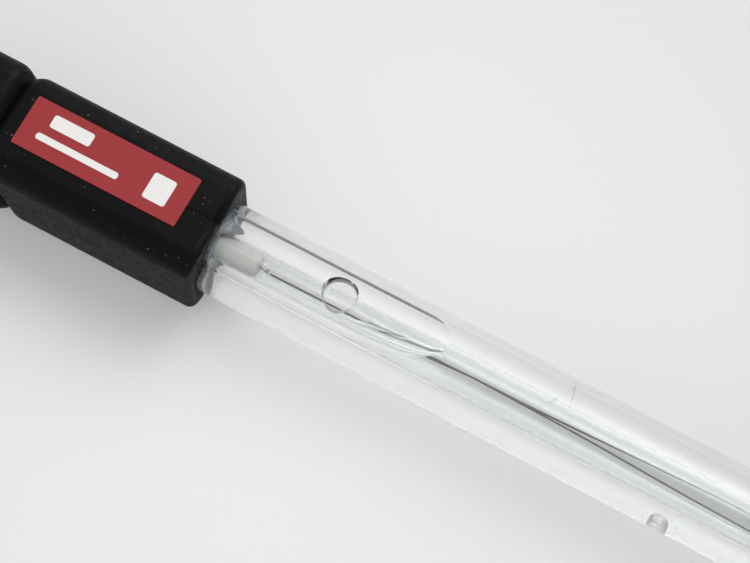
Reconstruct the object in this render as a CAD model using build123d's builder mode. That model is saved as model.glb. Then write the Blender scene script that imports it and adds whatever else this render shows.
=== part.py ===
from build123d import *
from math import cos, radians, sin, sqrt, tan
import os

# Reference electrode with a moulded head, a clear body tube with a refill hole, and an inner element.
# Millimetres. +X runs along the body tube to its tip, and +Z points up, out of the refill hole.
# The origin is on the tube's axis, in the plane of the cap's front face.

# Body tube. Its seat is turned down, so that a small shoulder stops on the cap's front face.
tube_od = 12.0
tube_wall = 1.3
tube_reach = 95.0
tube_seat = 18.0
seat_step = 0.3
tip_thickness = 1.8
tip_round = 2.4
tip_inner_bevel = 1.2

# Refill hole, on top of the tube
hole_x = 17.1
hole_dia = 4.1
hole_bevel = 0.25
hole_flare = 25.0

# Side junction, a porous plug set in the near wall
junction_x = 64.0
junction_dia = 2.6
junction_inside = 1.1
junction_bevel = 0.6

# Cap
cap_wall = 1.4
cap_rise = 0.4
cap_edge = 3.0
cap_front_edge = 0.9
cap_web = 2.0
web_bore = 4.6
mouth_bevel = 0.1

# Joint between the cap and the cable head: a slanted plane with a rounded groove around it
joint_x = -28.4
joint_slant = 20.0
groove_round = 2.6
groove_lead = 0.6
socket_dia = 10.4
spigot_reach = 4.6

# Cable head
head_length = 17.0
head_swell = 0.3
head_rear_bevel = 1.6
boss_dia = 10.0
boss_reach = 3.2
boss_bevel = 0.5
head_bore = 6.4

# Inlet grommet
grommet_dia = 7.6
grommet_seat = 5.5
grommet_bore = 4.6
grommet_lip = 0.7
grommet_lip_dia = 8.8
grommet_bevel = 0.25

# Label plate
label_length = 23.2
label_width = 7.0
label_thickness = 0.15
label_corner = 0.25
label_x = -16.1
label_y = 0.55

# Inner tube. It stops short of the body tube's floor.
inner_od = 4.2
inner_wall = 0.4
inner_drop = 0.25
inner_back = 8.0
inner_tip_room = 6.2
inner_end_bevel = 0.12

# White stopper in the inner tube's mouth
stopper_back = 0.5
stopper_reach = 5.8
stopper_bevel = 0.35

# Inner junction
frit_depth = 4.0
frit_proud = 1.0
frit_bevel = 0.4

# Potting in the tube's mouth
potting_reach = 1.6

# Silver wire: straight to wire_cross_x, then apart, folded back, and on to wire_return_x
wire_dia = 0.4
wire_back = 24.0
wire_frit_room = 3.0
wire_cross_x = 33.0
wire_return_x = 31.0
wire_spread_y = 0.62
wire_return_rise = 0.55

# Silver chloride bead round the wire's fold
bead_dia = 2.2
bead_length = 6.0
bead_past_turn = 1.5
bead_bevel = 0.5

# Crimp and its shrink sleeve
crimp_dia = 2.2
crimp_length = 8.0
crimp_grip = 4.4
crimp_lead_bore = 1.3
crimp_bevel = 0.3
shrink_wall = 0.4
shrink_overlap = 0.8

# Filling solution
solution_level = 1.65
bubble_reach = 31.0
bubble_round = 2.6

# Clearances, each on the radius or on one face
tube_gap = 0.03
spigot_gap = 0.05

os.makedirs("parts", exist_ok=True)

# Sizes that follow from the ones above
tube_r = tube_od / 2
bore_r = tube_r - tube_wall
seat_r = tube_r - seat_step
tube_floor = tube_reach - tip_thickness
hole_r = hole_dia / 2
inner_r = inner_od / 2
inner_bore_r = inner_r - inner_wall
inner_reach = tube_floor - inner_tip_room
frit_back = inner_reach - frit_depth
wire_r = wire_dia / 2
wire_turn_x = frit_back - wire_frit_room
crimp_front = crimp_grip - wire_back
crimp_reach = crimp_length + shrink_overlap
sleeve_r = crimp_dia / 2 + shrink_wall
cap_size = tube_od + 2 * cap_wall
cap_top = cap_rise + cap_size / 2
web_back = -tube_seat - cap_web
spigot_front = joint_x + spigot_reach
head_back = joint_x - head_length
boss_back = head_back - boss_reach
joint_span = cap_size * tan(radians(joint_slant))
axis_plane = Plane.YZ
inner_plane = Plane(origin=(0, 0, -inner_drop), x_dir=(0, 1, 0), z_dir=(1, 0, 0))
joint_plane = Plane(
    origin=(joint_x, 0, 0),
    x_dir=(0, 1, 0),
    z_dir=(cos(radians(joint_slant)), 0, sin(radians(joint_slant))),
)


def head_section(plane, swell=0.0):
    """The rounded square that the cap and the cable head share, drawn on a plane across the tube's axis."""
    with BuildSketch(plane) as section:
        with Locations((0, cap_rise)):
            RectangleRounded(cap_size + 2 * swell, cap_size + 2 * swell, cap_edge + swell)
    return section.sketch


# Cap: a rounded block with the tube's bore in front and the cable head's socket behind
with BuildPart() as cap:
    extrude(head_section(axis_plane), amount=joint_x - joint_span)
    split(bisect_by=joint_plane.offset(-groove_lead), keep=Keep.TOP)
    fillet(cap.faces().filter_by(joint_plane).edges(), radius=groove_round)
    split(bisect_by=joint_plane, keep=Keep.TOP)
    fillet(cap.faces().sort_by(Axis.X)[-1].edges(), radius=cap_front_edge)
    with BuildSketch(axis_plane):
        Circle(seat_r + tube_gap)
    extrude(amount=-tube_seat, mode=Mode.SUBTRACT)
    mouth = cap.faces().sort_by(Axis.X)[-1].edges().filter_by(GeomType.CIRCLE).sort_by(SortBy.RADIUS)[-1]
    chamfer(mouth, length=mouth_bevel)
    with BuildSketch(axis_plane.offset(-tube_seat)):
        Circle(web_bore / 2)
    extrude(amount=-cap_web, mode=Mode.SUBTRACT)
    with BuildSketch(axis_plane.offset(web_back)):
        Circle(socket_dia / 2)
    extrude(amount=joint_x - joint_span - web_back, mode=Mode.SUBTRACT)
cap.part.label = "cap"
export_step(cap.part, "parts/cap.step")

# Cable head: the rear block, with a spigot that fills the cap's socket and a boss for the cable
with BuildPart() as cable_head:
    extrude(head_section(axis_plane.offset(head_back), head_swell), amount=head_length + joint_span)
    split(bisect_by=joint_plane.offset(groove_lead), keep=Keep.BOTTOM)
    fillet(cable_head.faces().filter_by(joint_plane).edges(), radius=groove_round)
    split(bisect_by=joint_plane, keep=Keep.BOTTOM)
    chamfer(cable_head.faces().sort_by(Axis.X)[0].edges(), length=head_rear_bevel)
    with BuildSketch(axis_plane.offset(spigot_front)):
        Circle(socket_dia / 2 - spigot_gap)
    extrude(amount=-(spigot_reach + joint_span))
    with BuildSketch(axis_plane.offset(boss_back)):
        Circle(boss_dia / 2)
    extrude(amount=boss_reach + head_rear_bevel)
    chamfer(cable_head.faces().sort_by(Axis.X)[0].edges(), length=boss_bevel)
    with BuildSketch(axis_plane.offset(spigot_front)):
        Circle(head_bore / 2)
    extrude(amount=boss_back - spigot_front, mode=Mode.SUBTRACT)
    with BuildSketch(axis_plane.offset(boss_back)):
        Circle(grommet_dia / 2)
    extrude(amount=grommet_seat, mode=Mode.SUBTRACT)
cable_head.part.label = "cable_head"
export_step(cable_head.part, "parts/cable_head.step")

# Inlet grommet: a lipped rubber bush in the boss
with BuildPart() as inlet_grommet:
    with BuildSketch(axis_plane.offset(boss_back)):
        Circle(grommet_dia / 2)
    extrude(amount=grommet_seat)
    with BuildSketch(axis_plane.offset(boss_back)):
        Circle(grommet_lip_dia / 2)
    extrude(amount=-grommet_lip)
    chamfer(inlet_grommet.faces().sort_by(Axis.X)[0].edges(), length=grommet_bevel)
    with BuildSketch(axis_plane.offset(boss_back - grommet_lip)):
        Circle(grommet_bore / 2)
    extrude(amount=grommet_seat + grommet_lip, mode=Mode.SUBTRACT)
inlet_grommet.part.label = "inlet_grommet"
export_step(inlet_grommet.part, "parts/inlet_grommet.step")

# Label plate on the cap's flat top
with BuildPart() as label_plate:
    with BuildSketch(Plane.XY.offset(cap_top)):
        with Locations((label_x, label_y)):
            RectangleRounded(label_length, label_width, label_corner)
    extrude(amount=label_thickness)
label_plate.part.label = "label_plate"
export_step(label_plate.part, "parts/label_plate.step")

# Body tube: turned about its axis, closed at the tip, with the refill hole and the side junction's bore
with BuildPart() as body_tube:
    with BuildSketch(Plane.XZ):
        with BuildLine():
            Polyline(
                (-tube_seat, bore_r),
                (-tube_seat, seat_r),
                (0, seat_r),
                (0, tube_r),
                (tube_reach, tube_r),
                (tube_reach, 0),
                (tube_floor, 0),
                (tube_floor, bore_r),
                close=True,
            )
        make_face()
    revolve(axis=Axis.X)
    fillet(body_tube.faces().sort_by(Axis.X)[-1].edges(), radius=tip_round)
    inner_floor = body_tube.faces().filter_by(Axis.X).sort_by(Axis.X)[-2]
    chamfer(inner_floor.edges(), length=tip_inner_bevel)
    with BuildSketch(Plane.XY.offset(tube_r)):
        with Locations((hole_x, 0)):
            Circle(hole_r)
    extrude(amount=-tube_r, mode=Mode.SUBTRACT)
    with BuildSketch(Plane.XY.offset(sqrt(tube_r**2 - hole_r**2) - hole_bevel)):
        with Locations((hole_x, 0)):
            Circle(hole_r)
    extrude(amount=tube_r, taper=-hole_flare, mode=Mode.SUBTRACT)
    with BuildSketch(Plane.XZ.offset(tube_r)):
        with Locations((junction_x, 0)):
            Circle(junction_dia / 2)
    extrude(amount=-tube_r, mode=Mode.SUBTRACT)
body_tube.part.label = "body_tube"
export_step(body_tube.part, "parts/body_tube.step")

# Side junction: a bevelled porous plug, ground flush with the tube's outside
with BuildPart() as side_junction:
    with BuildSketch(Plane.XZ.offset(tube_r)):
        with Locations((junction_x, 0)):
            Circle(junction_dia / 2)
    extrude(amount=-(tube_wall + junction_inside))
    chamfer(side_junction.faces().sort_by(Axis.Y)[-1].edges(), length=junction_bevel)
    with BuildSketch(axis_plane.offset(junction_x - junction_dia)):
        Circle(tube_r)
    extrude(amount=2 * junction_dia, mode=Mode.INTERSECT)
side_junction.part.label = "side_junction"
export_step(side_junction.part, "parts/side_junction.step")

# Inner tube
with BuildPart() as inner_tube:
    with BuildSketch(inner_plane.offset(-inner_back)):
        Circle(inner_r)
        Circle(inner_bore_r, mode=Mode.SUBTRACT)
    extrude(amount=inner_back + inner_reach)
    chamfer(inner_tube.faces().sort_by(Axis.X)[-1].edges(), length=inner_end_bevel)
inner_tube.part.label = "inner_tube"
export_step(inner_tube.part, "parts/inner_tube.step")

# Silver wire: down the middle, folded sharply inside the bead, and part of the way back
wire_path = Polyline(
    (-wire_back, 0, -inner_drop),
    (wire_cross_x, 0, -inner_drop),
    (wire_turn_x, wire_spread_y, -inner_drop),
    (wire_turn_x, -wire_spread_y, -inner_drop),
    (wire_return_x, 0, -inner_drop + wire_return_rise),
)
with BuildPart() as silver_wire:
    with BuildSketch(Plane(origin=wire_path @ 0, z_dir=wire_path % 0)):
        Circle(wire_r)
    sweep(path=wire_path, transition=Transition.RIGHT)
silver_wire.part.label = "silver_wire"
export_step(silver_wire.part, "parts/silver_wire.step")

# Silver chloride bead, cast round the fold of the wire
with BuildPart() as chloride_bead:
    with BuildSketch(inner_plane.offset(wire_turn_x + bead_past_turn)):
        Circle(bead_dia / 2)
    extrude(amount=-bead_length)
    chamfer(chloride_bead.faces().sort_by(Axis.X)[-1].edges(), length=bead_bevel)
    add(silver_wire.part, mode=Mode.SUBTRACT)
chloride_bead.part.label = "chloride_bead"
export_step(chloride_bead.part, "parts/chloride_bead.step")

# White stopper: closes the inner tube's mouth and centres the wire
with BuildPart() as stopper:
    with BuildSketch(inner_plane.offset(-stopper_back)):
        Circle(inner_bore_r)
    extrude(amount=stopper_back + stopper_reach)
    chamfer(stopper.faces().sort_by(Axis.X)[-1].edges(), length=stopper_bevel)
    add(silver_wire.part, mode=Mode.SUBTRACT)
stopper.part.label = "stopper"
export_step(stopper.part, "parts/stopper.step")

# Inner junction: a porous frit pushed into the inner tube's end
with BuildPart() as inner_frit:
    with BuildSketch(inner_plane.offset(frit_back)):
        Circle(inner_bore_r)
    extrude(amount=frit_depth + frit_proud)
    chamfer(inner_frit.faces().sort_by(Axis.X)[-1].edges(), length=frit_bevel)
inner_frit.part.label = "inner_frit"
export_step(inner_frit.part, "parts/inner_frit.step")

# Crimp: a metal ferrule, closed on the silver wire in front and open for the lead behind
with BuildPart() as crimp_ferrule:
    with BuildSketch(inner_plane.offset(crimp_front)):
        Circle(crimp_dia / 2)
    extrude(amount=-crimp_length)
    chamfer(crimp_ferrule.faces().sort_by(Axis.X)[-1].edges(), length=crimp_bevel)
    with BuildSketch(inner_plane.offset(-wire_back)):
        Circle(crimp_lead_bore / 2)
    extrude(amount=-crimp_length, mode=Mode.SUBTRACT)
    add(silver_wire.part, mode=Mode.SUBTRACT)
crimp_ferrule.part.label = "crimp_ferrule"
export_step(crimp_ferrule.part, "parts/crimp_ferrule.step")

# Shrink sleeve over the ferrule
with BuildPart() as shrink_sleeve:
    with BuildSketch(inner_plane.offset(crimp_front)):
        Circle(sleeve_r)
        Circle(crimp_dia / 2, mode=Mode.SUBTRACT)
    extrude(amount=-crimp_reach)
shrink_sleeve.part.label = "shrink_sleeve"
export_step(shrink_sleeve.part, "parts/shrink_sleeve.step")

# Tube potting: resin that holds the inner tube in the body tube's mouth
with BuildPart() as tube_potting:
    with BuildSketch(axis_plane.offset(-tube_seat)):
        Circle(bore_r)
    extrude(amount=tube_seat + potting_reach)
    with BuildSketch(inner_plane.offset(-stopper_back)):
        Circle(inner_bore_r)
    extrude(amount=stopper_back + potting_reach, mode=Mode.SUBTRACT)
    add(inner_tube.part, mode=Mode.SUBTRACT)
    add(silver_wire.part, mode=Mode.SUBTRACT)
    add(crimp_ferrule.part, mode=Mode.SUBTRACT)
    add(shrink_sleeve.part, mode=Mode.SUBTRACT)
tube_potting.part.label = "tube_potting"
export_step(tube_potting.part, "parts/tube_potting.step")

# Head potting: resin round the crimp, between the tube's end and the cable head's spigot
with BuildPart() as head_potting:
    with BuildSketch(axis_plane.offset(spigot_front)):
        Circle(socket_dia / 2)
    extrude(amount=web_back - spigot_front)
    with BuildSketch(axis_plane.offset(web_back)):
        Circle(web_bore / 2)
    extrude(amount=cap_web)
    add(silver_wire.part, mode=Mode.SUBTRACT)
    with BuildSketch(inner_plane.offset(crimp_front)):
        Circle(sleeve_r)
    extrude(amount=-crimp_reach, mode=Mode.SUBTRACT)
head_potting.part.label = "head_potting"
export_step(head_potting.part, "parts/head_potting.step")

# Inner solution: fills the inner tube between the stopper and the frit
with BuildPart() as inner_solution:
    with BuildSketch(inner_plane.offset(stopper_reach)):
        Circle(inner_bore_r)
    extrude(amount=frit_back - stopper_reach)
    add(silver_wire.part, mode=Mode.SUBTRACT)
    add(chloride_bead.part, mode=Mode.SUBTRACT)
inner_solution.part.label = "inner_solution"
export_step(inner_solution.part, "parts/inner_solution.step")

# Outer solution: fills the body tube, with a long bubble along the top under the refill hole
with BuildPart() as outer_solution:
    with BuildSketch(axis_plane.offset(potting_reach)):
        Circle(bore_r)
    extrude(amount=tube_floor - potting_reach)
    chamfer(outer_solution.faces().sort_by(Axis.X)[-1].edges(), length=tip_inner_bevel)
    with BuildSketch(Plane.XY.offset(solution_level)):
        with BuildLine():
            FilletPolyline(
                (potting_reach, bore_r),
                (bubble_reach, bore_r),
                (bubble_reach, -bore_r),
                (potting_reach, -bore_r),
                close=True,
                radius=[0, bubble_round, bubble_round, 0],
            )
        make_face()
    extrude(amount=bore_r, mode=Mode.SUBTRACT)
    with BuildSketch(inner_plane.offset(potting_reach)):
        Circle(inner_r)
    extrude(amount=inner_reach - potting_reach, mode=Mode.SUBTRACT)
    add(inner_frit.part, mode=Mode.SUBTRACT)
    add(side_junction.part, mode=Mode.SUBTRACT)
outer_solution.part.label = "outer_solution"
export_step(outer_solution.part, "parts/outer_solution.step")
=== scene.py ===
import math

import bmesh
import bpy
import numpy as np
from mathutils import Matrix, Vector


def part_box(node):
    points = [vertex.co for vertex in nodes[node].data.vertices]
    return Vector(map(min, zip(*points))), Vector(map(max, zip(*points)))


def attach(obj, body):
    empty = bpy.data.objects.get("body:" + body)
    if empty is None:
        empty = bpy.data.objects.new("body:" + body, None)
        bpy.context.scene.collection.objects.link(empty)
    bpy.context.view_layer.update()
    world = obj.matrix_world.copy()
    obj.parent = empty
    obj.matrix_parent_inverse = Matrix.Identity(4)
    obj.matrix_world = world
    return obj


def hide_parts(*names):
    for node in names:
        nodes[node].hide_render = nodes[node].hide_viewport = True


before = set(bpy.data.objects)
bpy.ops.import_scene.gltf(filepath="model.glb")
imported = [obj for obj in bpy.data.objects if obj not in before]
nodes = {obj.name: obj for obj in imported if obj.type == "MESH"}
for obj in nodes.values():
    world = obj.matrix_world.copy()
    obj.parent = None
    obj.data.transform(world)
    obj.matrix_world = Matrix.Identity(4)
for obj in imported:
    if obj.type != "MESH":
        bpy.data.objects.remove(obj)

# The reference electrode's looks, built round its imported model, in metres and in the model's own frame:
# +X runs along the body tube to its tip, and +Z points up, out of the refill hole.

mm = 0.001
body = "root"
scene = bpy.context.scene
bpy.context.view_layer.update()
print("stage: frame loaded,", len(nodes), "nodes")


# A node's two ends along X, its middle height and half its width, all read from its box in the model
def span(node):
    low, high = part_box(node)
    return low.x, high.x, (low.z + high.z) / 2, (high.y - low.y) / 2


# Meshes

# Smooth shading where neighbouring faces meet at less than an angle in degrees, and sharp edges elsewhere
def shade(piece, angle):
    mesh = piece.data
    mesh.polygons.foreach_set("use_smooth", np.ones(len(mesh.polygons), dtype=bool))
    mesh.set_sharp_from_angle(angle=math.radians(angle))
    mesh.update()


# A new object for a mesh. It lies at the origin and rides on the body.
def addPiece(name, mesh, smooth):
    piece = bpy.data.objects.new(name, mesh)
    scene.collection.objects.link(piece)
    shade(piece, smooth)
    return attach(piece, body)


# A piece from whole arrays of points and faces
def makePiece(name, points, faces, smooth=35):
    mesh = bpy.data.meshes.new(name)
    mesh.from_pydata(np.asarray(points, float).tolist(), [], faces)
    mesh.update()
    return addPiece(name, mesh, smooth)


# Merges the points of a mesh that lie within a distance, and turns its faces outwards where that is asked
def mergePoints(mesh, distance, faceOut=False):
    b = bmesh.new()
    b.from_mesh(mesh)
    bmesh.ops.remove_doubles(b, verts=b.verts, dist=distance)
    if faceOut:
        bmesh.ops.recalc_face_normals(b, faces=b.faces)
    b.to_mesh(mesh)
    b.free()


# The same as makePiece for a closed surface, whose faces are made to point outwards
def closedPiece(name, points, faces, smooth=35):
    piece = makePiece(name, points, faces, smooth)
    mergePoints(piece.data, 1e-7, faceOut=True)
    shade(piece, smooth)
    return piece


# The numbers of the points round a ring, and for each of them the number of the next
def around(sides):
    here = np.arange(sides)
    return here, (here + 1) % sides


# Quads between stacked rings of points: each joins a point and the next with the two above them
def ringFaces(rings, sides):
    row, here = np.meshgrid(np.arange(rings - 1) * sides, np.arange(sides), indexing="ij")
    beside = (here + 1) % sides
    quads = np.stack([row + here, row + beside, row + sides + beside, row + sides + here], -1)
    return quads.reshape(-1, 4).tolist()


# Triangles that close the first and the last of the stacked rings, each to a point of its own. Those two
# points are numbered after all the rings.
def endFans(rings, sides):
    here, beside = around(sides)
    last = (rings - 1) * sides
    first = np.stack([np.full(sides, rings * sides), beside, here], 1)
    second = np.stack([np.full(sides, rings * sides + 1), last + here, last + beside], 1)
    return np.vstack([first, second]).tolist()


# A profile's corners rounded: each corner that has a radius gives way to an arc that touches both its
# sides. The arc's centre lies on the corner's bisector, the radius over the sine of the half angle away.
def roundCorners(corners, steps=10):
    points = [np.array(corners[0][:2], float)]
    for i in range(1, len(corners) - 1):
        before, here, after = (np.array(corners[k][:2], float) for k in (i - 1, i, i + 1))
        radius = corners[i][2] if len(corners[i]) > 2 else 0
        if not radius:
            points.append(here)
            continue
        u = (before - here) / np.linalg.norm(before - here)
        v = (after - here) / np.linalg.norm(after - here)
        half = math.acos(np.clip(u @ v, -1, 1)) / 2
        reach = radius / math.tan(half)
        centre = here + (u + v) / np.linalg.norm(u + v) * radius / math.sin(half)
        first, last = here + u * reach - centre, here + v * reach - centre
        turn = math.atan2(first[0] * last[1] - first[1] * last[0], first @ last)
        angles = np.linspace(0, turn, steps)
        arc = np.stack([first[0] * np.cos(angles) - first[1] * np.sin(angles),
                        first[0] * np.sin(angles) + first[1] * np.cos(angles)], 1)
        points += list(centre + arc)
    points.append(np.array(corners[-1][:2], float))
    return np.array(points)


# Extra points on a profile's long sides, at even shares, so that no two neighbours are further apart than
# the step
def fillProfile(profile, step):
    profile = np.asarray(profile, float)
    lengths = np.linalg.norm(np.diff(profile, axis=0), axis=1)
    shares = [np.linspace(0, 1, max(1, math.ceil(n / step)), endpoint=False) for n in lengths]
    parts = [profile[i] + s[:, None] * (profile[i + 1] - profile[i]) for i, s in enumerate(shares)]
    return np.vstack(parts + [profile[-1:]])


# A surface of revolution: the profile's (along, radius) pairs carried round an axis through the centre, as
# the radius times the angle's cosine and sine. The axis is "x", "y" or "z". A profile that starts and ends
# on its axis closes with a point at each end, and any other joins its last ring to its first.
def turned(profile, centre, axis, sides):
    profile = np.asarray(profile, float)
    capped = profile[0, 1] == 0
    rings = profile[1:-1] if capped else profile
    angle = np.linspace(0, 2 * np.pi, sides, endpoint=False)
    along = np.repeat(rings[:, 0:1], sides, 1)
    across, up = rings[:, 1:2] * np.cos(angle), rings[:, 1:2] * np.sin(angle)
    order = {"x": (along, across, up), "y": (up, along, across), "z": (across, up, along)}[axis]
    points = np.stack(order, -1).reshape(-1, 3)
    faces = ringFaces(len(rings), sides)
    if capped:
        ends = np.zeros((2, 3))
        ends[:, "xyz".index(axis)] = profile[0, 0], profile[-1, 0]
        points = np.vstack([points, ends])
        faces += endFans(len(rings), sides)
    else:
        here, beside = around(sides)
        last = (len(rings) - 1) * sides
        faces += np.stack([last + here, last + beside, beside, here], 1).tolist()
    return points + np.array(centre, float), faces


# A closed piece from a surface of revolution
def turnedPiece(name, profile, centre=(0, 0, 0), axis="x", sides=96):
    return closedPiece(name, *turned(profile, centre, axis, sides))


# A piece with a round section carried along a path: at each point two directions square to the path are
# found from "up", and a ring is laid out on them. Both ends close with a point.
def sweptPiece(name, path, radius, sides=16, up=(0, 0, 1)):
    along = np.gradient(path, axis=0)
    along /= np.linalg.norm(along, axis=1)[:, None]
    side = np.cross(along, np.array(up, float))
    side /= np.linalg.norm(side, axis=1)[:, None]
    top = np.cross(side, along)
    angle = np.linspace(0, 2 * np.pi, sides, endpoint=False)
    ring = side[:, None] * np.cos(angle)[None, :, None] + top[:, None] * np.sin(angle)[None, :, None]
    points = np.vstack([(path[:, None] + ring * radius).reshape(-1, 3), path[:1], path[-1:]])
    return closedPiece(name, points, ringFaces(len(path), sides) + endFans(len(path), sides), 50)


# Cuts the tools out of a piece and bakes the result into its mesh. The tools are removed.
def cutOut(piece, tools, smooth=35):
    for tool in tools:
        cut = piece.modifiers.new("cut", "BOOLEAN")
        cut.operation, cut.solver, cut.object = "DIFFERENCE", "EXACT", tool
    depsgraph = bpy.context.evaluated_depsgraph_get()
    depsgraph.update()
    mesh = bpy.data.meshes.new_from_object(piece.evaluated_get(depsgraph))
    piece.modifiers.clear()
    piece.data = mesh
    for tool in tools:
        bpy.data.objects.remove(tool)
    shade(piece, smooth)
    return piece


# A copy of a model's node with its loose triangles merged, so that its rounds shade smoothly
def smoothCopy(node, name, smooth):
    mesh = nodes[node].data.copy()
    mesh.name = name
    mesh.materials.clear()
    mergePoints(mesh, 1e-6)
    mesh.normals_split_custom_set([(0, 0, 0)] * len(mesh.loops))
    piece = addPiece(name, mesh, smooth)
    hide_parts(node)
    return piece


# A sum of sine waves along x, each given as its size, its rate and its shift
def waves(x, parts):
    return sum(size * np.sin(rate * x + shift) for size, rate, shift in parts)


# Materials

class NodeTree:
    # Short ways to add, set and join the nodes of one tree
    def __init__(self, tree):
        self.tree = tree

    def add(self, kind, **settings):
        node = self.tree.nodes.new("ShaderNode" + kind)
        for key, value in settings.items():
            setattr(node, key, value)
        return node

    def link(self, source, target):
        self.tree.links.new(source, target)

    # One operation on two values, each a number or another node's output
    def math(self, operation, a, b):
        node = self.add("Math", operation=operation)
        for socket, value in zip(node.inputs, (a, b)):
            if isinstance(value, (int, float)):
                socket.default_value = value
            else:
                self.link(value, socket)
        return node.outputs[0]


class Shader(NodeTree):
    # A material with a Principled shader, whose patterns lie on Object coordinates. In a socket's name an
    # underscore stands for a space.
    def __init__(self, name, **sockets):
        self.material = bpy.data.materials.new(name)
        self.material.use_nodes = True
        super().__init__(self.material.node_tree)
        self.main = self.tree.nodes["Principled BSDF"]
        self.place = self.add("TexCoord").outputs["Object"]
        for socket, value in sockets.items():
            self.main.inputs[socket.replace("_", " ")].default_value = value

    # Noise with "scale" patches to the millimetre. A stretch under 1 draws the patches out along that axis.
    def noise(self, scale, detail, stretch=(1, 1, 1)):
        place = self.add("Mapping")
        place.inputs["Scale"].default_value = [s / mm for s in stretch]
        self.link(self.place, place.inputs["Vector"])
        node = self.add("TexNoise")
        node.inputs["Scale"].default_value = scale
        node.inputs["Detail"].default_value = detail
        self.link(place.outputs["Vector"], node.inputs["Vector"])
        return node.outputs["Fac"]

    # A value carried evenly from the range low to high into another range, and held at its ends
    def ramp(self, value, low, high, to=(0, 1)):
        node = self.add("MapRange")
        for key, number in zip(("From Min", "From Max", "To Min", "To Max"), (low, high, *to)):
            node.inputs[key].default_value = number
        self.link(value, node.inputs["Value"])
        return node.outputs["Result"]

    # Two colours mixed by a share, each a triple of numbers or another node's output
    def mix(self, share, a, b):
        node = self.add("Mix", data_type="RGBA")
        for socket, colour in ((node.inputs[6], a), (node.inputs[7], b)):
            if isinstance(colour, tuple):
                socket.default_value = (*colour, 1)
            else:
                self.link(colour, socket)
        self.link(share, node.inputs[0])
        return node.outputs[2]

    # Raises the surface by a height from 0 to 1, times a depth in millimetres
    def bump(self, height, depth, strength):
        node = self.add("Bump")
        node.inputs["Strength"].default_value = strength
        node.inputs["Distance"].default_value = depth * mm
        self.link(height, node.inputs["Height"])
        self.link(node.outputs["Normal"], self.main.inputs["Normal"])

    def colour(self, value):
        self.link(value, self.main.inputs["Base Color"])

    def rough(self, value):
        self.link(value, self.main.inputs["Roughness"])


# Satin black moulding: a fine grain, faint rubbed patches, and pale dust where two noises are both high
def headPlastic():
    s = Shader("headPlastic", Metallic=0.0, Specular_IOR_Level=0.09)
    black = s.mix(s.noise(0.35, 5), (0.0020, 0.0020, 0.0022), (0.0046, 0.0046, 0.0048))
    dust = s.math("MULTIPLY", s.ramp(s.noise(2.6, 2), 0.70, 0.73), s.ramp(s.noise(0.22, 2), 0.45, 0.56))
    s.colour(s.mix(dust, black, (0.16, 0.157, 0.15)))
    s.rough(s.ramp(s.noise(1.3, 4), 0.35, 0.7, (0.40, 0.56)))
    s.bump(s.noise(7, 3), 0.006, 0.5)
    return s.material


# Clear tube material, with a hardly seen haze where the noise is high, and faint waves drawn out along X
def clearGlass(name, ior, tint):
    s = Shader(name, Transmission_Weight=1.0, IOR=ior, Base_Color=(*tint, 1))
    s.rough(s.ramp(s.noise(0.5, 3), 0.62, 0.85, (0.0, 0.035)))
    s.bump(s.noise(0.16, 2, (0.3, 1, 1)), 0.004, 0.5)
    return s.material


# A clear liquid, whose surface is hardly uneven
def liquid(name, ior, tint):
    s = Shader(name, Transmission_Weight=1.0, IOR=ior, Base_Color=(*tint, 1), Roughness=0.0)
    s.bump(s.noise(0.5, 2), 0.002, 0.4)
    return s.material


# A finish laid on by three noises, each given as its scale, its detail and perhaps its stretch. The patches
# mix two shades, with an edge between two levels where one is given. The gloss runs the roughness between
# two values. The grain raises the surface by a depth in millimetres, times a strength.
def layered(name, shades, patches, rough, gloss, grain=None, depth=0.0, strength=0.5, edge=None, **sockets):
    s = Shader(name, **sockets)
    share = s.noise(*patches)
    s.colour(s.mix(s.ramp(share, *edge) if edge else share, *shades))
    s.rough(s.ramp(s.noise(*gloss), 0.3, 0.7, rough))
    if grain:
        s.bump(s.noise(*grain), depth, strength)
    return s.material


# A plain opaque finish: two close shades, uneven gloss and a fine surface, all from one grain
def plainFinish(name, shades, rough, grain, metal=0.0, level=0.5):
    return layered(name, shades, patches=(grain / 3, 4), rough=(rough - 0.06, rough + 0.06),
                   gloss=(grain, 3), grain=(grain * 2, 3), depth=0.008,
                   Metallic=metal, Specular_IOR_Level=level)


# Gives a piece its one material and, where the piece is new, its slot
def finish(piece, material):
    piece.data.materials.clear()
    piece.data.materials.append(material)


blackPlastic = headPlastic()
tubeGlass = clearGlass("tubeGlass", 1.49, (0.955, 0.963, 0.958))
innerGlass = clearGlass("innerGlass", 1.50, (0.99, 0.993, 0.992))
solution = liquid("solution", 1.34, (0.985, 0.99, 0.987))

# A fine porous plug, soaked with solution and so half see-through
wetCeramic = layered("wetCeramic", ((0.93, 0.94, 0.93), (0.99, 0.99, 0.99)), patches=(1.5, 4),
                     rough=(0.25, 0.4), gloss=(2.5, 3), grain=(4, 3), depth=0.01,
                     Transmission_Weight=0.86, IOR=1.46)
# The drilled wall of the refill hole, left matt and grey, with streaks along the drill
drillStreaks = (1, 1, 0.3)
groundWall = layered("groundWall", ((0.50, 0.52, 0.53), (0.82, 0.84, 0.85)), patches=(1.4, 3, drillStreaks),
                     rough=(0.3, 0.55), gloss=(2.2, 3, drillStreaks), grain=(2.5, 3, drillStreaks),
                     depth=0.02, strength=0.6, Transmission_Weight=0.55, IOR=1.49)
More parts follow.
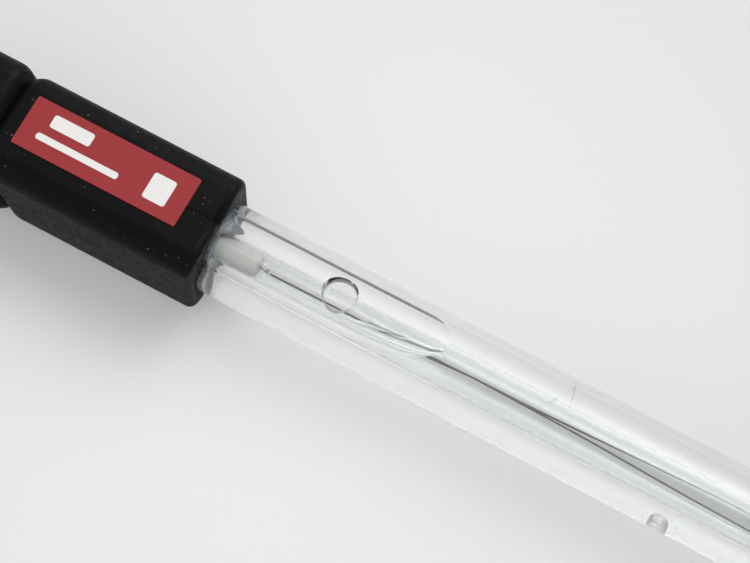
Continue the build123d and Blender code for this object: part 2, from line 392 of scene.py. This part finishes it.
# Blue-grey resin with darker patches
resin = layered("pottingResin", ((0.19, 0.215, 0.25), (0.045, 0.05, 0.062)), patches=(0.55, 4),
                edge=(0.50, 0.60), rough=(0.2, 0.4), gloss=(1.5, 3), grain=(1.2, 4), depth=0.05,
                strength=0.6, Specular_IOR_Level=0.5)
redVinyl = layered("labelVinyl", ((0.275, 0.0115, 0.0150), (0.335, 0.0160, 0.0200)), patches=(1.6, 5),
                   rough=(0.38, 0.5), gloss=(2.5, 3), grain=(6, 3), depth=0.006,
                   Specular_IOR_Level=0.35, Coat_Weight=0.15, Coat_Roughness=0.25)
whiteInk = layered("labelInk", ((0.74, 0.72, 0.70), (0.86, 0.85, 0.83)), patches=(5, 4), rough=(0.4, 0.55),
                   gloss=(3, 2), Specular_IOR_Level=0.3)
softWhite = layered("whitePlastic", ((0.78, 0.78, 0.75), (0.90, 0.90, 0.88)), patches=(0.7, 4),
                    rough=(0.4, 0.55), gloss=(2, 3), grain=(3, 3), depth=0.008, Specular_IOR_Level=0.4)
silver = plainFinish("silver", ((0.10, 0.095, 0.09), (0.24, 0.23, 0.22)), 0.38, 4, metal=1.0)
print("stage: materials")


# Body tube: a closed tube with a stepped seat in the head and a refill hole, flared at its mouth
tube = {"sides": 160, "step": 0.9, "tipRound": 2.4, "floorRound": 1.6, "seatStep": 0.3}
hole = {"x": 17.1, "radius": 2.05, "bevel": 0.25, "flare": 25, "past": 1.3, "sides": 96,
        "wallReach": 1.02, "wallTilt": 0.2}
tubeBack, tubeEnd, _, tubeRadius = span("body_tube")
_, solutionEnd, _, boreRadius = span("outer_solution")
seatRadius = tubeRadius - tube["seatStep"] * mm
tubeProfile = roundCorners([
    (solutionEnd, 0), (solutionEnd, boreRadius, tube["floorRound"] * mm), (tubeBack, boreRadius),
    (tubeBack, seatRadius), (0, seatRadius), (0, tubeRadius),
    (tubeEnd, tubeRadius, tube["tipRound"] * mm), (tubeEnd, 0)])
bodyTube = turnedPiece("body_tube_clear", fillProfile(tubeProfile, tube["step"] * mm), sides=tube["sides"])
holeX, holeRadius = hole["x"] * mm, hole["radius"] * mm
wallTop = math.sqrt(tubeRadius**2 - holeRadius**2) - hole["bevel"] * mm
flareTop = tubeRadius * hole["past"]
flareWide = holeRadius + (flareTop - wallTop) * math.tan(math.radians(hole["flare"]))
holeTool = turnedPiece("holeTool", [
    (0, 0), (0, holeRadius), (wallTop, holeRadius), (flareTop, flareWide), (flareTop, 0)],
    (holeX, 0, 0), "z", hole["sides"])
cutOut(bodyTube, [holeTool])
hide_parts("body_tube")
finish(bodyTube, tubeGlass)
bodyTube.data.materials.append(groundWall)


# One vector for each face of a mesh, its "center" or its "normal", as the rows of an array
def faceRows(mesh, what):
    rows = np.zeros(len(mesh.polygons) * 3)
    mesh.polygons.foreach_get(what, rows)
    return rows.reshape(-1, 3)


# The drilled wall is the upright faces of the tube's upper half within the hole's radius
centres = faceRows(bodyTube.data, "center")
upright = np.abs(faceRows(bodyTube.data, "normal")[:, 2]) < hole["wallTilt"]
inHole = np.hypot(centres[:, 0] - holeX, centres[:, 1]) < holeRadius * hole["wallReach"]
drilled = inHole & (centres[:, 2] > 0) & upright
bodyTube.data.polygons.foreach_set("material_index", drilled.astype(np.int32))
print("stage: body tube,", len(centres), "faces,", int(drilled.sum()), "of them in the drilled wall")


# Inner tube, open at both ends. Its profile ends just short of its start, and its last ring joins its first.
inner = {"sides": 96, "step": 2, "rimRound": 0.15, "mouthRound": 0.12, "gap": 0.01}
innerBack, innerEnd, innerZ, innerRadius = span("inner_tube")
fillStart, fillEnd, _, fillRadius = span("inner_solution")
innerProfile = roundCorners([
    (innerBack, fillRadius), (innerBack, innerRadius), (innerEnd, innerRadius, inner["rimRound"] * mm),
    (innerEnd, fillRadius, inner["mouthRound"] * mm), (innerBack + inner["gap"] * mm, fillRadius)])
innerTube = turnedPiece("inner_tube_clear", fillProfile(innerProfile, inner["step"] * mm), (0, 0, innerZ),
                        sides=inner["sides"])
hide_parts("inner_tube")
finish(innerTube, innerGlass)


# Filling solution of the body tube, with the long bubble and its wetted edges. Lengths are in millimetres,
# and angles are in degrees from the bore's top, towards the far side where they are above zero.
outer = {"start": -0.6, "step": 0.6, "toolStart": -2, "toolStep": 2}
bubble = {"start": -1.2, "end": 31.75, "step": 0.22, "noseRows": 60, "noseTurn": 88.65, "columns": 241,
          "past": 1.08, "farBend": 28.0, "nearBend": 16.0, "tipAngle": 5, "farAngle": 43.6, "nearAngle": -50,
          "edgeAngle": 47, "level": 1.62, "sagPower": 2.3, "closePower": 0.8,
          "film": 1.9, "backWidth": 1.9, "backBlend": 1.2, "wet": 0.14, "wetWidth": 0.22, "wetOut": 0.12,
          "waves": ((0.035, 2.1, 0), (0.03, 5.3, 1), (0.025, 11.7, 2)),
          "farDry": ((6.6, 0), (7.3, 0.39), (10, 0.62), (13.7, 0.9), (19.5, 1.3), (23, 0.8), (25.9, 0.11),
                     (26.3, 0)),
          "nearDry": ((6.6, 0), (8.0, 1.0), (8.4, 1.11), (14.1, 0.96), (19, 1.0), (25.6, 0.19), (26.3, 0))}
lap = 0.02 * mm       # the solution runs this far into the walls that hold it


# The height of the inner tube's outside over a distance from its middle plane: the axis's height plus the
# square root of the radius squared less that distance squared
def innerTop(y):
    return (innerZ + np.sqrt(np.maximum(innerRadius**2 - (y * mm) ** 2, 0))) / mm


# The bubble as a tool, from its underside up past the tube. At each station along X its two edges stand on
# the bore's wall, at angles that close on the tip as quarter ellipses do. Between them the level sags below
# the straight chord by 1 less the share of the half width to a power. Over the inner tube's back a flat bell
# eases it to the tube's own height at the two borders of a dry strip, or to a thin film past the strip's
# ends. At the two borders, which waver by a sum of sines, it climbs by a narrow bell.
def bubbleTool():
    bend = np.linspace(0, math.radians(bubble["noseTurn"]), bubble["noseRows"])
    farNose, nearNose = bubble["end"] - bubble["farBend"], bubble["end"] - bubble["nearBend"]
    x = np.concatenate([np.arange(bubble["start"], bubble["farBend"], bubble["step"]),
                        bubble["farBend"] + farNose * np.sin(bend)])
    farShare = np.sqrt(1 - np.clip((x - bubble["farBend"]) / farNose, 0, 1) ** 2)
    nearShare = np.sqrt(1 - np.clip((x - bubble["nearBend"]) / nearNose, 0, 1) ** 2)
    share = ((farShare + nearShare) / 2)[:, None]
    far = np.radians(bubble["tipAngle"] + (bubble["farAngle"] - bubble["tipAngle"]) * farShare)[:, None]
    near = np.radians(bubble["tipAngle"] + (bubble["nearAngle"] - bubble["tipAngle"]) * nearShare)[:, None]
    bore = boreRadius / mm
    half = np.linspace(-bubble["past"], bubble["past"], bubble["columns"])
    across = (half + 1) / 2
    y = bore * (np.sin(near) * (1 - across) + np.sin(far) * across)
    chord = bore * (np.cos(near) * (1 - across) + np.cos(far) * across)
    depth = bore * math.cos(math.radians(bubble["edgeAngle"])) - bubble["level"]
    z = chord - depth * share ** bubble["closePower"] * (1 - np.abs(half) ** bubble["sagPower"])
    waver = waves(x, bubble["waves"])
    farLine = np.interp(x, *np.transpose(bubble["farDry"])) * (1 + waver)
    nearLine = np.interp(x, *np.transpose(bubble["nearDry"])) * (1 - waver)
    dry = (x > bubble["farDry"][0][0]) & (x < bubble["farDry"][-1][0])
    farLevel = np.where(dry, innerTop(farLine), bubble["film"])[:, None]
    nearLevel = np.where(dry, innerTop(nearLine), bubble["film"])[:, None]
    side = np.clip(y / bubble["backBlend"] + 0.5, 0, 1)
    backLevel = nearLevel * (1 - side) + farLevel * side
    z += (backLevel - bubble["level"]) * np.exp(-((y / bubble["backWidth"]) ** 4)) * share
    line = np.where(y > 0, farLine[:, None], nearLine[:, None])
    climb = np.exp(-(((np.abs(y) - line - bubble["wetOut"]) / bubble["wetWidth"]) ** 2))
    z += bubble["wet"] * climb * dry[:, None]
    low = np.stack([np.repeat(x[:, None], len(half), 1), y, z], -1) * mm
    high = low.copy()
    high[..., 2] = tubeRadius
    rings, sides = len(x), 2 * len(half)
    points = np.concatenate([low, high[:, ::-1]], 1).reshape(-1, 3)
    faces = ringFaces(rings, sides)
    faces.append(list(range(sides))[::-1])
    faces.append(list(range((rings - 1) * sides, rings * sides)))
    return closedPiece("bubbleTool", points, faces)


outerProfile = roundCorners([
    (outer["start"] * mm, 0), (outer["start"] * mm, boreRadius + lap),
    (solutionEnd + lap, boreRadius + lap, tube["floorRound"] * mm), (solutionEnd + lap, 0)])
outerSolution = turnedPiece("outer_solution_clear", fillProfile(outerProfile, outer["step"] * mm),
                            sides=tube["sides"])
innerTool = turnedPiece("innerTool", fillProfile([
    (outer["toolStart"] * mm, 0), (outer["toolStart"] * mm, innerRadius - lap),
    (innerEnd - lap, innerRadius - lap), (innerEnd - lap, 0)], outer["toolStep"] * mm),
    (0, 0, innerZ), sides=inner["sides"])
cutOut(outerSolution, [bubbleTool(), innerTool])
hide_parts("outer_solution")
finish(outerSolution, solution)
print("stage: outer solution,", len(outerSolution.data.polygons), "faces")


# White stopper, rounded more in front than behind
stopperShape = {"backRound": 0.25, "frontRound": 0.5}
stopperBack, stopperFront, _, stopperRadius = span("stopper")
stopper = turnedPiece("stopper_white", roundCorners([
    (stopperBack, 0), (stopperBack, stopperRadius + lap, stopperShape["backRound"] * mm),
    (stopperFront, stopperRadius + lap, stopperShape["frontRound"] * mm), (stopperFront, 0)]), (0, 0, innerZ))
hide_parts("stopper")
finish(stopper, softWhite)

# Filling solution of the inner tube, which starts a little further back, round the stopper's rounded end
innerFillShape = {"back": 0.3, "step": 2}
fillBack = fillStart - innerFillShape["back"] * mm
innerFill = turnedPiece("inner_solution_clear", fillProfile([
    (fillBack, 0), (fillBack, fillRadius + lap), (fillEnd, fillRadius + lap), (fillEnd, 0)],
    innerFillShape["step"] * mm), (0, 0, innerZ))
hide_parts("inner_solution")
finish(innerFill, solution)


# Silver wire: out along the axis, then apart, a round turn in the bead, and back. "go" and "home" are places
# along X with the wire's distance to the far side, and "fold" is half the turn's width.
wire = {"radius": 0.09, "returnX": 29.5, "fold": 0.58, "inBead": 1.5, "rise": 0.5, "lean": 1 / 3,
        "go": ((-24, 0), (6, 0), (24, 0.12), (33, 0.16), (36, 0.22), (43, 0.26), (50, 0.42), (60, 0.7),
               (70, 0.9), (75, 0.86)),
        "home": ((29.5, -0.05), (33, 0.12), (36, 0.24), (39, 0.2), (43, 0.16), (48, 0.1), (53, 0),
                 (65, -0.36), (75, -0.55)),
        "goPoints": 160, "foldPoints": 24, "homePoints": 90}
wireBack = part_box("silver_wire")[0].x / mm
turnX = (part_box("chloride_bead")[1].x - wire["inBead"] * mm) / mm - wire["fold"]
turn = np.linspace(0, np.pi, wire["foldPoints"])
goX = np.linspace(wireBack, turnX, wire["goPoints"])
goY = np.interp(goX, *np.transpose(wire["go"] + ((turnX, wire["fold"]),)))
homeX = np.linspace(turnX, wire["returnX"], wire["homePoints"])
homeY = np.interp(homeX, *np.transpose(wire["home"] + ((turnX, -wire["fold"]),)))
rise = wire["rise"] * (turnX - homeX) / (turnX - wire["returnX"])
homeY -= rise * wire["lean"]        # the higher the wire, the further to the near side
go = np.stack([goX, goY, np.zeros_like(goX)], 1)
fold = np.stack([turnX + wire["fold"] * np.sin(turn), wire["fold"] * np.cos(turn), np.zeros_like(turn)], 1)
home = np.stack([homeX, homeY, rise], 1)
wirePath = np.vstack([go[:-1], fold, home[1:]]) * mm + np.array([0, 0, innerZ])
silverWire = sweptPiece("silver_wire_bent", wirePath, wire["radius"] * mm)
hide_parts("silver_wire")
finish(silverWire, silver)


# Potting: a plug of resin whose front face is uneven, low above the stopper and with a lobe on the far side.
# Each ripple is its waves round the axis, its shift, and the power of the radius's share that it grows by.
potting = {"sides": 160, "wallRings": 8, "faceRings": 26, "wallFront": -1, "front": 0.1, "centre": -0.2,
           "nearRise": 1.0, "risesTo": (-0.8, -0.4), "lobe": 2.1, "lobeAngle": 25, "lobeWidth": 0.45,
           "lobeShare": 0.62, "lobeDepth": 0.2, "dip": 0.5, "dipShare": 0.4, "dipWidth": 0.14,
           "ripple": 0.16, "ripples": ((3, 1, 1), (7, 2.2, 2))}


# The plug's rings are carried round the axis, first along its wall and then inwards over its front. There X
# is the mean, plus a rise to one side by the square of the radius's share, a lobe that is a bell both in
# angle and in share, and sines of the angle, less a dip above the stopper that is a bell in share.
def pottingPiece():
    backX, _, _, radius = span("tube_potting")
    sides = potting["sides"]
    angle = np.linspace(0, 2 * np.pi, sides, endpoint=False)
    y, z = np.cos(angle), np.sin(angle)
    wallX = np.linspace(backX, potting["wallFront"] * mm, potting["wallRings"])
    share = np.linspace(1, 0, potting["faceRings"], endpoint=False)[:, None]
    away = (angle - np.radians(potting["lobeAngle"]) + np.pi) % (2 * np.pi) - np.pi
    lobe = (np.exp(-((away / potting["lobeWidth"]) ** 2))
            * np.exp(-(((share - potting["lobeShare"]) / potting["lobeDepth"]) ** 2)))
    dip = np.exp(-(((share - potting["dipShare"]) / potting["dipWidth"]) ** 2)) * np.clip(z, 0, 1)
    ripple = sum(np.sin(count * angle + shift) * share**power for count, shift, power in potting["ripples"])
    toSide = np.clip(y * potting["risesTo"][0] + z * potting["risesTo"][1], 0, 1)
    front = (potting["front"] + potting["nearRise"] * share**2 * toSide
             + potting["lobe"] * lobe + potting["ripple"] * ripple - potting["dip"] * dip)
    wallPoints = np.stack([np.repeat(wallX[:, None], sides, 1), np.tile(radius * y, (len(wallX), 1)),
                           np.tile(radius * z, (len(wallX), 1))], -1)
    facePoints = np.stack([front * mm, radius * share * y, radius * share * z], -1)
    ends = np.array([[backX, 0, 0], [potting["centre"] * mm, 0, 0]])
    points = np.vstack([wallPoints.reshape(-1, 3), facePoints.reshape(-1, 3), ends])
    rings = len(wallX) + len(share)
    return closedPiece("tube_potting_resin", points, ringFaces(rings, sides) + endFans(rings, sides), 50)


tubePotting = pottingPiece()
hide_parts("tube_potting")
finish(tubePotting, resin)
print("stage: solution, stopper, wire and potting")


# Side junction: a round-backed plug along Y, cut to the tube's own round outside
junction = {"sides": 64, "backRound": 0.85, "past": 1.02, "toolReach": 4, "toolPast": 1.5, "skin": 0.01}
plugLow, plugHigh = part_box("side_junction")
plugX, plugRadius = (plugLow.x + plugHigh.x) / 2, (plugHigh.x - plugLow.x) / 2
plugOut = -tubeRadius * junction["past"]
sidePlug = turnedPiece("side_junction_plug", roundCorners([
    (plugOut, 0), (plugOut, plugRadius), (plugHigh.y, plugRadius, junction["backRound"] * mm),
    (plugHigh.y, 0)]), (plugX, 0, 0), "y", junction["sides"])
toolIn, toolOut = tubeRadius - junction["skin"] * mm, tubeRadius * junction["toolPast"]
toolBack, toolFront = plugX - junction["toolReach"] * mm, plugX + junction["toolReach"] * mm
wallTool = turnedPiece("wallTool", [
    (toolBack, toolIn), (toolFront, toolIn), (toolFront, toolOut), (toolBack, toolOut)], sides=tube["sides"])
cutOut(sidePlug, [wallTool])
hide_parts("side_junction")
finish(sidePlug, wetCeramic)


# Head: smooth copies of the two black blocks. The cap's top has a hairline crack by the label, which runs
# over the rounded front edge: there it drops by the radius less the arc's height.
head = {"smooth": 32, "edgeRound": 0.9}
crack = {"radius": 0.055, "startX": -4.6, "endX": 0.3, "y": 0.22, "waves": ((0.09, 1.9, 0), (0.05, 4.7, 1)),
         "points": 90, "sides": 8}
capPiece = smoothCopy("cap", "cap_moulding", head["smooth"])
edgeRound = head["edgeRound"] * mm
crackX = np.linspace(crack["startX"], crack["endX"], crack["points"])
crackY = crack["y"] + waves(crackX, crack["waves"])
drop = np.clip(crackX * mm + edgeRound, 0, edgeRound)
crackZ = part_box("cap")[1].z - (edgeRound - np.sqrt(edgeRound**2 - drop**2))
crackTool = sweptPiece("crackTool", np.stack([crackX * mm, crackY * mm, crackZ], 1), crack["radius"] * mm,
                       crack["sides"])
cutOut(capPiece, [crackTool], head["smooth"])
finish(capPiece, blackPlastic)
headPiece = smoothCopy("cable_head", "cable_head_moulding", head["smooth"])
finish(headPiece, blackPlastic)


# Label: the red plate with plain white fields. Each field is its left end, its middle, its length and its
# width, all as shares of the plate.
label = {"inkHeight": 0.02, "inkDepth": 0.01, "corner": 0.35, "cornerPoints": 8,
         "fields": ((0.135, 0.70, 0.245, 0.26), (0.10, 0.33, 0.50, 0.13), (0.7625, 0.48, 0.135, 0.52))}
labelLow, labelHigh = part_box("label_plate")
labelLong, labelWide = labelHigh.x - labelLow.x, labelHigh.y - labelLow.y
finish(nodes["label_plate"], redVinyl)


# A flat field with rounded corners: its outline is four quarter circles, and a thin wall joins two copies
def labelField(name, left, middle, long, wide):
    long, wide, corner = long * labelLong, wide * labelWide, label["corner"] * mm
    quarter = np.arange(4)[:, None] * np.pi / 2 + np.linspace(0, np.pi / 2, label["cornerPoints"])
    signX, signY = np.array([1, -1, -1, 1])[:, None], np.array([1, 1, -1, -1])[:, None]
    x = labelLow.x + left * labelLong + long / 2 + signX * (long / 2 - corner) + corner * np.cos(quarter)
    y = labelLow.y + middle * labelWide + signY * (wide / 2 - corner) + corner * np.sin(quarter)
    count = x.size
    low = np.column_stack([x.ravel(), y.ravel(), np.full(count, labelHigh.z - label["inkDepth"] * mm)])
    high = low.copy()
    high[:, 2] = labelHigh.z + label["inkHeight"] * mm
    here, beside = around(count)
    faces = np.stack([here, beside, beside + count, here + count], 1).tolist()
    faces += [here[::-1].tolist(), (here + count).tolist()]
    return makePiece(name, np.vstack([low, high]), faces, 30)


for number, field in enumerate(label["fields"], 1):
    finish(labelField(f"label_field_{number}", *field), whiteInk)

# Clear pieces let light straight through, so that the white pieces inside and the paper below stay bright
for clear in (bodyTube, innerTube, outerSolution, innerFill, sidePlug):
    clear.visible_shadow = False


# Dirt on the body tube: a few crumbs, each given as its place along X, its angle from the top and its
# radius, and two short hairs, given as places along X with angles
dirt = {"crumbs": ((3.7, 19, 0.07), (4.4, 12, 0.05), (3.2, -8, 0.05), (27.8, 22, 0.09), (62.1, -78, 0.11),
                   (66.4, -67, 0.10), (65.7, -62, 0.06), (5.0, 2, 0.045), (2.2, 33, 0.06)),
        "crumbShape": (1.3, 0.8, 0.7),
        "hairs": (((47.55, 43.6), (47.7, 34), (48.1, 22), (48.2, 14)), ((46.6, 10), (46.2, 2), (45.9, -1))),
        "hairRadius": 0.03, "hairStand": 0.02, "hairPoints": 24, "hairSides": 8}


# A point on the tube's outside, or a little above it: the radius times the angle's sine and cosine
def onTube(x, degrees, stand=0.0):
    turn = np.radians(np.asarray(degrees, float))
    radius = tubeRadius / mm + stand
    return np.stack([np.asarray(x, float), radius * np.sin(turn), radius * np.cos(turn)], -1) * mm


# Each crumb has six points, one out along each axis and one back, and eight faces between them
crumbs = np.array(dirt["crumbs"])
axisEnds = np.array([[1, 0, 0], [-1, 0, 0], [0, 1, 0], [0, -1, 0], [0, 0, 1], [0, 0, -1]])
eight = np.array([[0, 2, 4], [2, 1, 4], [1, 3, 4], [3, 0, 4], [2, 0, 5], [1, 2, 5], [3, 1, 5], [0, 3, 5]])
reach = (axisEnds * np.array(dirt["crumbShape"]))[None] * crumbs[:, 2][:, None, None] * mm
crumbPoints = onTube(crumbs[:, 0], crumbs[:, 1])[:, None] + reach
crumbFaces = np.arange(len(crumbs))[:, None, None] * len(axisEnds) + eight[None]
crumbPiece = makePiece("tube_crumbs", crumbPoints.reshape(-1, 3), crumbFaces.reshape(-1, 3), 20)
finish(crumbPiece, plainFinish("crumbs", ((0.02, 0.02, 0.02), (0.06, 0.06, 0.06)), 0.7, 6))
for number, hair in enumerate(dirt["hairs"], 1):
    knots = np.arange(len(hair))
    share = np.linspace(0, len(hair) - 1, dirt["hairPoints"])
    hairX, hairAngle = (np.interp(share, knots, values) for values in np.transpose(hair))
    hairPiece = sweptPiece(f"tube_hair_{number}", onTube(hairX, hairAngle, dirt["hairStand"]),
                           dirt["hairRadius"] * mm, dirt["hairSides"], (1, 0, 0))
    hairShades = ((0.10, 0.13, 0.15), (0.2, 0.22, 0.24))
    finish(hairPiece, plainFinish(f"hair{number}", hairShades, 0.6, 6))

# The rest of the nodes keep their meshes. Each has its finish's name, two shades, roughness and grain, and
# where they aren't the usual ones, its share of metal and its specular level.
rest = {
    "inlet_grommet": ("grommetRubber", ((0.010, 0.010, 0.010), (0.020, 0.020, 0.021)), 0.7, 4, 0.0, 0.3),
    "inner_frit": ("porousCeramic", ((0.60, 0.61, 0.60), (0.74, 0.75, 0.74)), 0.8, 6),
    "chloride_bead": ("silverChloride", ((0.16, 0.13, 0.15), (0.27, 0.23, 0.25)), 0.75, 5),
    "crimp_ferrule": ("tinnedBrass", ((0.55, 0.55, 0.53), (0.66, 0.66, 0.64)), 0.35, 4, 1.0),
    "shrink_sleeve": ("shrinkPlastic", ((0.02, 0.02, 0.02), (0.035, 0.035, 0.04)), 0.6, 4),
}
for node, recipe in rest.items():
    finish(nodes[node], plainFinish(*recipe))
finish(nodes["head_potting"], resin)
print("stage: head, label and inner pieces")


# Floor: a wide pale disc, sloped a little so that it touches the head's underside and the tip
floor = {"radius": 4.0, "sides": 64, "slope": 0.0108, "height": -7.02, "centre": (0.012, -0.004),
         "near": (0.83, 0.83, 0.838), "far": (0.745, 0.745, 0.76), "fadeFrom": 0.02, "fadeTo": 0.085,
         "cameraShare": 0.25, "glassShare": 0.3}
angle = np.linspace(0, 2 * np.pi, floor["sides"], endpoint=False)
floorX, floorY = floor["radius"] * np.cos(angle), floor["radius"] * np.sin(angle)
floorPoints = np.stack([floorX, floorY, floor["height"] * mm + floor["slope"] * floorX], 1)
floorMesh = bpy.data.meshes.new("floor")
floorMesh.from_pydata(floorPoints.tolist(), [], [list(range(floor["sides"]))])
floorObject = bpy.data.objects.new("floor", floorMesh)
scene.collection.objects.link(floorObject)

# The paper is part lit and part bright by itself: a small share for the camera, so that the shadows stay,
# and a larger one for what glass and gloss show of it. Its colour is a painted falloff of light, brightest
# round the object and a little darker away from it.
paper = Shader("floorPaper", Specular_IOR_Level=0.1, Roughness=0.9)
away = paper.add("VectorMath", operation="DISTANCE")
paper.link(paper.place, away.inputs[0])
away.inputs[1].default_value = (*floor["centre"], floor["height"] * mm)
# Painted light: the paper's colour runs from the near shade to the darker far shade with distance from the
# object
paintedFalloff = paper.ramp(away.outputs["Value"], floor["fadeFrom"], floor["fadeTo"])
paperColour = paper.mix(paintedFalloff, floor["near"], floor["far"])
paper.colour(paperColour)
glow = paper.add("Emission")
paper.link(paperColour, glow.inputs["Color"])
rays = paper.add("LightPath")
glassRay = paper.math("MAXIMUM", rays.outputs["Is Glossy Ray"], rays.outputs["Is Transmission Ray"])
cameraShare = paper.math("MULTIPLY", rays.outputs["Is Camera Ray"], floor["cameraShare"])
glassShare = paper.math("MULTIPLY", glassRay, floor["glassShare"])
blend = paper.add("MixShader")
paper.link(paper.math("MAXIMUM", cameraShare, glassShare), blend.inputs[0])
paper.link(paper.main.outputs[0], blend.inputs[1])
paper.link(glow.outputs[0], blend.inputs[2])
paper.link(blend.outputs[0], paper.tree.nodes["Material Output"].inputs["Surface"])
floorMesh.materials.append(paper.material)


# Light: a soft dome that is brightest in a ring at half height, by a bell over the height, and darker
# overhead, with one broad lobe on the far side, by a power of the cosine of the angle from its middle
light = {"base": 0.22, "ring": 0.85, "ringHeight": 0.45, "ringWidth": 0.32,
         "lobe": 6.0, "towards": (0.12, 0.60, 0.79), "power": 22}
world = bpy.data.worlds.new("dome")
scene.world = world
world.use_nodes = True
world.node_tree.nodes.clear()
sky = NodeTree(world.node_tree)
direction = sky.add("TexCoord").outputs["Generated"]
cosine = sky.add("VectorMath", operation="DOT_PRODUCT")
cosine.inputs[1].default_value = Vector(light["towards"]).normalized()
sky.link(direction, cosine.inputs[0])
lobe = sky.math("POWER", sky.math("MAXIMUM", cosine.outputs["Value"], 0.0), light["power"])
height = sky.add("SeparateXYZ")
sky.link(direction, height.inputs[0])
aboveRing = sky.math("SUBTRACT", height.outputs["Z"], light["ringHeight"])
offset = sky.math("DIVIDE", aboveRing, light["ringWidth"])
bell = sky.math("POWER", math.exp(-1), sky.math("MULTIPLY", offset, offset))
dome = sky.math("ADD", light["base"], sky.math("MULTIPLY", bell, light["ring"]))
background = sky.add("Background")
background.inputs["Color"].default_value = (1.0, 1.0, 1.0, 1)
sky.link(sky.math("ADD", dome, sky.math("MULTIPLY", lobe, light["lobe"])), background.inputs["Strength"])
sky.link(background.outputs[0], sky.add("OutputWorld").inputs["Surface"])
scene.cycles.max_bounces = 40
scene.cycles.transmission_bounces = 40
scene.view_settings.view_transform = "Standard"

# Camera, at the photograph's angle
view = {"azimuth": 29.1, "elevation": 69.1, "distance": 500.0, "lens": 194.5, "sensor": 36.0,
        "near": 0.01, "far": 20, "lookAt": (18.97, 5.38, 0.0)}
azimuth, elevation = math.radians(view["azimuth"]), math.radians(view["elevation"])
backward = Vector((math.sin(azimuth) * math.cos(elevation), -math.cos(azimuth) * math.cos(elevation),
                   math.sin(elevation)))
cameraData = bpy.data.cameras.new("camera")
cameraData.lens, cameraData.sensor_width = view["lens"], view["sensor"]
cameraData.clip_start, cameraData.clip_end = view["near"], view["far"]
camera = bpy.data.objects.new("camera", cameraData)
scene.collection.objects.link(camera)
camera.location = Vector(view["lookAt"]) * mm + backward * view["distance"] * mm
camera.rotation_mode = "QUATERNION"
camera.rotation_quaternion = (-backward).to_track_quat("-Z", "Y")
scene.camera = camera
print("stage: floor, light and camera")
